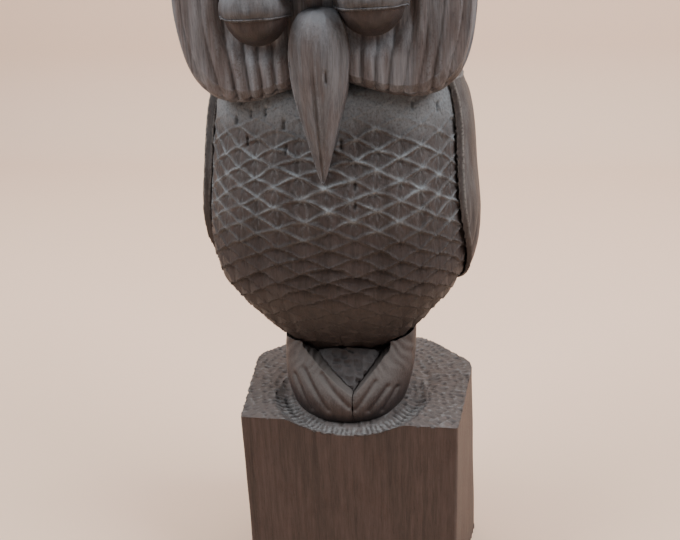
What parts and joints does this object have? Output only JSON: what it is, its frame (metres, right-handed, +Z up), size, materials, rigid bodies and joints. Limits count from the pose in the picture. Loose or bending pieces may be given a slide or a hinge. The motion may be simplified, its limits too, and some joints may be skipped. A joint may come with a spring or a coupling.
{
  "type": "carved wooden owl figurine",
  "caption": "Upright wooden owl with a heart-shaped face, hooded eyes, long beak and scale-cut breast, standing on a block plinth.",
  "frame": {"origin": "on the plinth's underside, straight below the owl's upright axis", "axes": "+Z up, the owl faces -Y, +X is the owl's own left (a viewer's right)"},
  "size_m": [0.1171, 0.0857, 0.3172],
  "materials": {
    "plinth_wood": "matt dark brown sawn wood with fine vertical grain",
    "carved_wood": "matt dark brown carved wood with pale dust on what faces up",
    "worn_wood": "smooth handled wood with a low sheen"
  },
  "bodies": {
    "root": {"plinth": "plinth_wood", "perch_mound": "carved_wood", "left_foot": "carved_wood", "right_foot": "carved_wood", "tail": "carved_wood", "body": "carved_wood", "left_wing": "carved_wood", "right_wing": "carved_wood", "head": "carved_wood", "facial_disc": "carved_wood", "beak": "worn_wood", "left_eye": "worn_wood", "right_eye": "worn_wood", "left_eyelid": "worn_wood", "right_eyelid": "worn_wood", "left_brow": "carved_wood", "right_brow": "carved_wood"}
  },
  "joints": []
}
